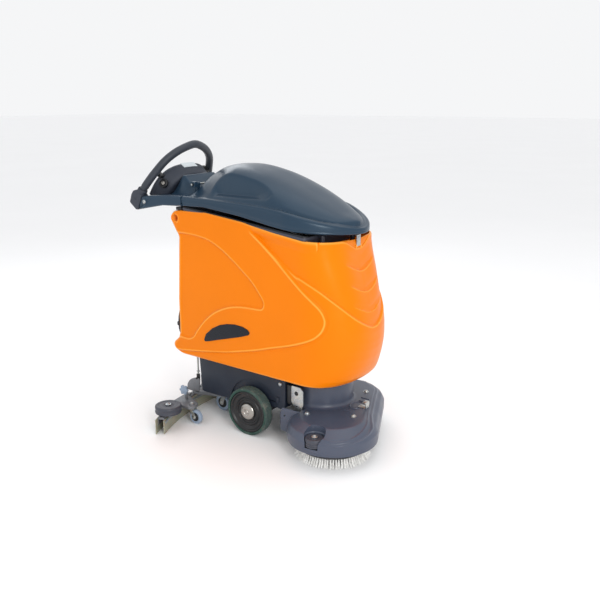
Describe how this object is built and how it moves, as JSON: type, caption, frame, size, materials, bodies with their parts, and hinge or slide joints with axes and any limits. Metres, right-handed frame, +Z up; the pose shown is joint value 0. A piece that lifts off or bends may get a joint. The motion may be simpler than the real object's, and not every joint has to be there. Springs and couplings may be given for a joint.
{
  "type": "wet dry floor scrubber",
  "caption": "Walk-behind battery scrubber drier with a tall tank, hinged lid, loop handle, twin round brushes under a front deck, driven wheels and a curved rear squeegee.",
  "frame": {"origin": "on the floor under the middle of the machine's bounding box", "axes": "+X forward, from the handle towards the scrub deck; +Y to the machine's left; +Z up"},
  "size_m": [1.143, 0.81, 1.1629],
  "materials": {
    "tank_orange": "satin roto-moulded",
    "blue_grey": "satin moulded",
    "charcoal": "fine textured",
    "soft_grip": "soft padded",
    "chassis_navy": "satin powder coat",
    "deck_grey": "satin",
    "black_plastic": "matt",
    "black_rubber": "matt",
    "bumper_grey": "matt",
    "badge_black": "gloss",
    "label_white": "satin",
    "green_tyre": "mottled tread",
    "rim_black": "satin",
    "silver": "turned",
    "zinc": "bright zinc plate",
    "cast_grey": "as cast",
    "castor_grey": "satin",
    "bristle_white": "nylon filament",
    "brush_body": "matt",
    "blade_beige": "translucent gum",
    "battery_black": "matt",
    "cast_iron": "painted",
    "heat_sink": "anodised",
    "stop_red": "gloss",
    "float_white": "satin",
    "tub_grey": "satin moulded"
  },
  "bodies": {
    "chassis": {"chassis_tray": "chassis_navy", "batteries": "battery_black", "transaxle": "cast_iron", "controller": "heat_sink", "solution_pump": "black_plastic", "pins_and_screws": "zinc", "solution_tank": "tank_orange", "tank_eyes": "tank_orange", "tank_nose": "tank_orange", "recovery_tank": "tub_grey", "tank_gasket": "black_rubber", "badge_plates": "badge_black", "suction_motor": "black_plastic", "suction_hose": "black_rubber", "drain_hose": "black_rubber", "handle_mounts": "black_rubber", "handle_frame": "blue_grey", "handle_loop": "soft_grip", "handle_end_caps": "charcoal", "console_housing": "charcoal", "display_panel": "label_white"},
    "lid": {"lid_shell": "blue_grey"},
    "latch": {"lid_latch": "zinc"},
    "float": {"float_ball": "float_white"},
    "filler_lid": {"filler_cap": "black_plastic"},
    "key": {"ignition_key": "silver"},
    "stop": {"stop_button": "stop_red"},
    "paddles": {"drive_paddles": "black_plastic"},
    "wheel_right": {"tyre_right": "green_tyre", "rim_right": "rim_black", "hub_right": "silver"},
    "wheel_left": {"tyre_left": "green_tyre", "rim_left": "rim_black", "hub_left": "silver"},
    "rear_castor_right": {"rear_castor_fork_right": "zinc"},
    "rear_roller_right": {"rear_castor_wheel_right": "castor_grey"},
    "rear_castor_left": {"rear_castor_fork_left": "zinc"},
    "rear_roller_left": {"rear_castor_wheel_left": "castor_grey"},
    "deck": {"deck_housing": "deck_grey", "motor_cover": "deck_grey", "brush_motor": "cast_iron", "brush_belt": "black_rubber", "deck_hardware": "zinc"},
    "deck_roller_right": {"deck_bumper_right": "bumper_grey"},
    "deck_roller_left": {"deck_bumper_left": "bumper_grey"},
    "brush_r": {"brush_right": "brush_body", "bristles_right": "bristle_white"},
    "brush_l": {"brush_left": "brush_body", "bristles_left": "bristle_white"},
    "lift_arm": {"squeegee_arm": "cast_grey", "squeegee_link": "zinc"},
    "squeegee": {"squeegee_beam": "cast_grey", "squeegee_blades": "blade_beige"},
    "tilt_knob": {"squeegee_knob": "castor_grey"},
    "squeegee_roller_right": {"squeegee_bumper_right": "bumper_grey"},
    "squeegee_roller_left": {"squeegee_bumper_left": "bumper_grey"},
    "squeegee_castor_r": {"squeegee_fork_right": "zinc"},
    "squeegee_castor_l": {"squeegee_fork_left": "zinc"},
    "squeegee_wheel_r": {"squeegee_castor_right": "castor_grey"},
    "squeegee_wheel_l": {"squeegee_castor_left": "castor_grey"}
  },
  "joints": [
    {"name": "drive_wheel_right_spin", "type": "hinge", "parent": "chassis", "child": "wheel_right", "pos_m": [0.0225, -0.18, 0.1], "axis": [0, 1, 0], "continuous": true},
    {"name": "rear_castor_right_swivel", "type": "hinge", "parent": "chassis", "child": "rear_castor_right", "pos_m": [-0.1925, -0.0556, 0.127], "axis": [0, 0, 1], "continuous": true},
    {"name": "rear_castor_right_roll", "type": "hinge", "parent": "rear_castor_right", "child": "rear_roller_right", "pos_m": [-0.2225, -0.0556, 0.0375], "axis": [0, 1, 0], "continuous": true},
    {"name": "drive_wheel_left_spin", "type": "hinge", "parent": "chassis", "child": "wheel_left", "pos_m": [0.0225, 0.18, 0.1], "axis": [0, 1, 0], "continuous": true},
    {"name": "rear_castor_left_swivel", "type": "hinge", "parent": "chassis", "child": "rear_castor_left", "pos_m": [-0.1925, 0.0556, 0.127], "axis": [0, 0, 1], "continuous": true},
    {"name": "rear_castor_left_roll", "type": "hinge", "parent": "rear_castor_left", "child": "rear_roller_left", "pos_m": [-0.2225, 0.0556, 0.0375], "axis": [0, 1, 0], "continuous": true},
    {"name": "deck_lift", "type": "slide", "parent": "chassis", "child": "deck", "axis": [0, 0, 1], "range_m": [0, 0.03]},
    {"name": "brush_right_spin", "type": "hinge", "parent": "deck", "child": "brush_r", "pos_m": [0.3945, -0.138, 0.04], "axis": [0, 0, 1], "continuous": true},
    {"name": "brush_left_spin", "type": "hinge", "parent": "deck", "child": "brush_l", "pos_m": [0.2845, 0.138, 0.04], "axis": [0, 0, 1], "continuous": true},
    {"name": "deck_bumper_right_spin", "type": "hinge", "parent": "deck", "child": "deck_roller_right", "pos_m": [0.4075, -0.285, 0.1], "axis": [0, 0, 1], "continuous": true},
    {"name": "deck_bumper_left_spin", "type": "hinge", "parent": "deck", "child": "deck_roller_left", "pos_m": [0.2715, 0.285, 0.1], "axis": [0, 0, 1], "continuous": true},
    {"name": "squeegee_lift", "type": "hinge", "parent": "chassis", "child": "lift_arm", "pos_m": [-0.1235, 0, 0.118], "axis": [0, 1, 0], "range_deg": [0, 9], "deforming": ["suction_hose"]},
    {"name": "squeegee_swing", "type": "hinge", "parent": "lift_arm", "child": "squeegee", "pos_m": [-0.3225, 0, 0.087], "axis": [0, 0, 1], "range_deg": [-12, 12]},
    {"name": "tilt_knob_turn", "type": "hinge", "parent": "squeegee", "child": "tilt_knob", "pos_m": [-0.3155, -0.207, 0.122], "axis": [0, 1, 0], "continuous": true},
    {"name": "squeegee_bumper_right_spin", "type": "hinge", "parent": "squeegee", "child": "squeegee_roller_right", "pos_m": [-0.2901, -0.3307, 0.085], "axis": [0, 0, 1], "continuous": true},
    {"name": "squeegee_castor_right_swivel", "type": "hinge", "parent": "squeegee", "child": "squeegee_castor_r", "pos_m": [-0.2485, -0.232, 0.066], "axis": [0, 0, 1], "continuous": true},
    {"name": "squeegee_castor_right_roll", "type": "hinge", "parent": "squeegee_castor_r", "child": "squeegee_wheel_r", "pos_m": [-0.2265, -0.232, 0.03], "axis": [0, 1, 0], "continuous": true},
    {"name": "squeegee_bumper_left_spin", "type": "hinge", "parent": "squeegee", "child": "squeegee_roller_left", "pos_m": [-0.2901, 0.3307, 0.085], "axis": [0, 0, 1], "continuous": true},
    {"name": "squeegee_castor_left_swivel", "type": "hinge", "parent": "squeegee", "child": "squeegee_castor_l", "pos_m": [-0.2485, 0.232, 0.066], "axis": [0, 0, 1], "continuous": true},
    {"name": "squeegee_castor_left_roll", "type": "hinge", "parent": "squeegee_castor_l", "child": "squeegee_wheel_l", "pos_m": [-0.2265, 0.232, 0.03], "axis": [0, 1, 0], "continuous": true},
    {"name": "lid_hinge", "type": "hinge", "parent": "chassis", "child": "lid", "pos_m": [-0.2885, 0, 0.995], "axis": [0, -1, 0], "range_deg": [0, 65]},
    {"name": "latch_hinge", "type": "hinge", "parent": "chassis", "child": "latch", "pos_m": [0.4105, 0, 0.8], "axis": [0, 1, 0], "range_deg": [0, 70]},
    {"name": "filler_cap_hinge", "type": "hinge", "parent": "chassis", "child": "filler_lid", "pos_m": [0.3275, 0, 0.796], "axis": [0, -1, 0], "range_deg": [0, 80]},
    {"name": "float_travel", "type": "slide", "parent": "chassis", "child": "float", "axis": [0, 0, 1], "range_m": [0, 0.14]},
    {"name": "key_turn", "type": "hinge", "parent": "chassis", "child": "key", "pos_m": [-0.44732, -0.132, 0.98851], "axis": [0.2, -0.9292, 0.3109], "range_deg": [0, 90]},
    {"name": "stop_press", "type": "slide", "parent": "chassis", "child": "stop", "axis": [0.841, 0, -0.541], "range_m": [0, 0.004], "stiffness_N_per_m": 900},
    {"name": "paddle_press", "type": "hinge", "parent": "chassis", "child": "paddles", "pos_m": [-0.4556, 0, 1.01999], "axis": [0, 1, 0], "range_deg": [-15, 15], "stiffness_Nm_per_rad": 0.8}
  ],
  "couplings": [
    {"joint": "brush_left_spin", "follows": "brush_right_spin", "ratio": 1}
  ]
}
